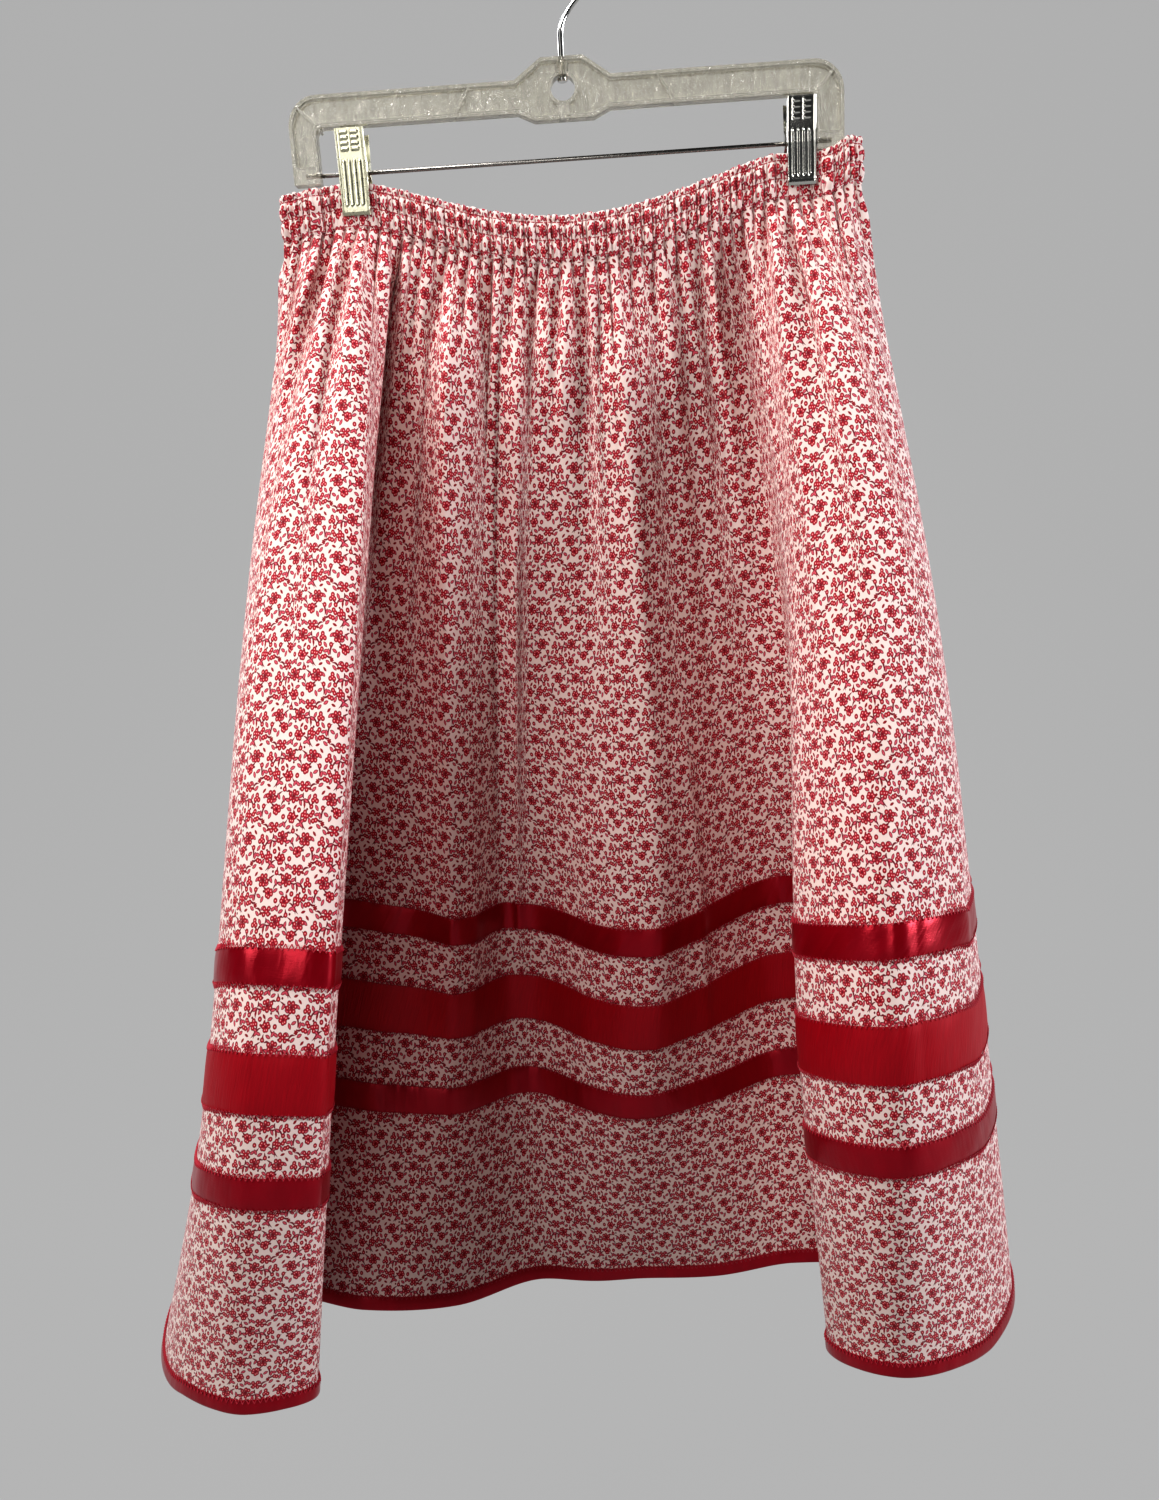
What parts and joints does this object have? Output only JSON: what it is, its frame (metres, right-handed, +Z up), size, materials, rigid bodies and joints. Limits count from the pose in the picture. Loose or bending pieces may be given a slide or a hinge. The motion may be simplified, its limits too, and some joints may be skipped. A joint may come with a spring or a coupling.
{
  "type": "ribbon skirt on clip hanger",
  "caption": "Long cotton skirt gathered on an elastic waist, with satin bands round it above a bound hem, hanging from a clear clip hanger.",
  "frame": {"origin": "inner top of the hanger's hook, where it rests on a rail", "axes": "+Z up along the hanging skirt, -Y towards its front, +X to a viewer's right"},
  "size_m": [0.6491, 0.3506, 0.989],
  "materials": {
    "calico": "matt printed cotton",
    "satin": "satin sheen",
    "taffeta": "fine-ribbed taffeta",
    "clear_plastic": "clear moulded styrene",
    "chrome_wire": "chromed wire",
    "steel_rod": "drawn steel rod",
    "chrome_sheet": "chromed pressed steel"
  },
  "bodies": {
    "root": {"front_panel": "calico", "back_panel": "calico", "waist_casing": "calico", "upper_ribbon_front": "satin", "upper_ribbon_back": "satin", "lower_ribbon_front": "satin", "lower_ribbon_back": "satin", "wide_ribbon_front": "taffeta", "wide_ribbon_back": "taffeta", "hem_binding_front": "satin", "hem_binding_back": "satin", "hanger_frame": "clear_plastic", "hanger_hook": "chrome_wire", "clip_rod": "steel_rod", "left_clip_front": "chrome_sheet", "left_clip_back": "chrome_sheet", "left_clip_spring": "chrome_sheet", "right_clip_front": "chrome_sheet", "right_clip_back": "chrome_sheet", "right_clip_spring": "chrome_sheet"}
  },
  "joints": []
}
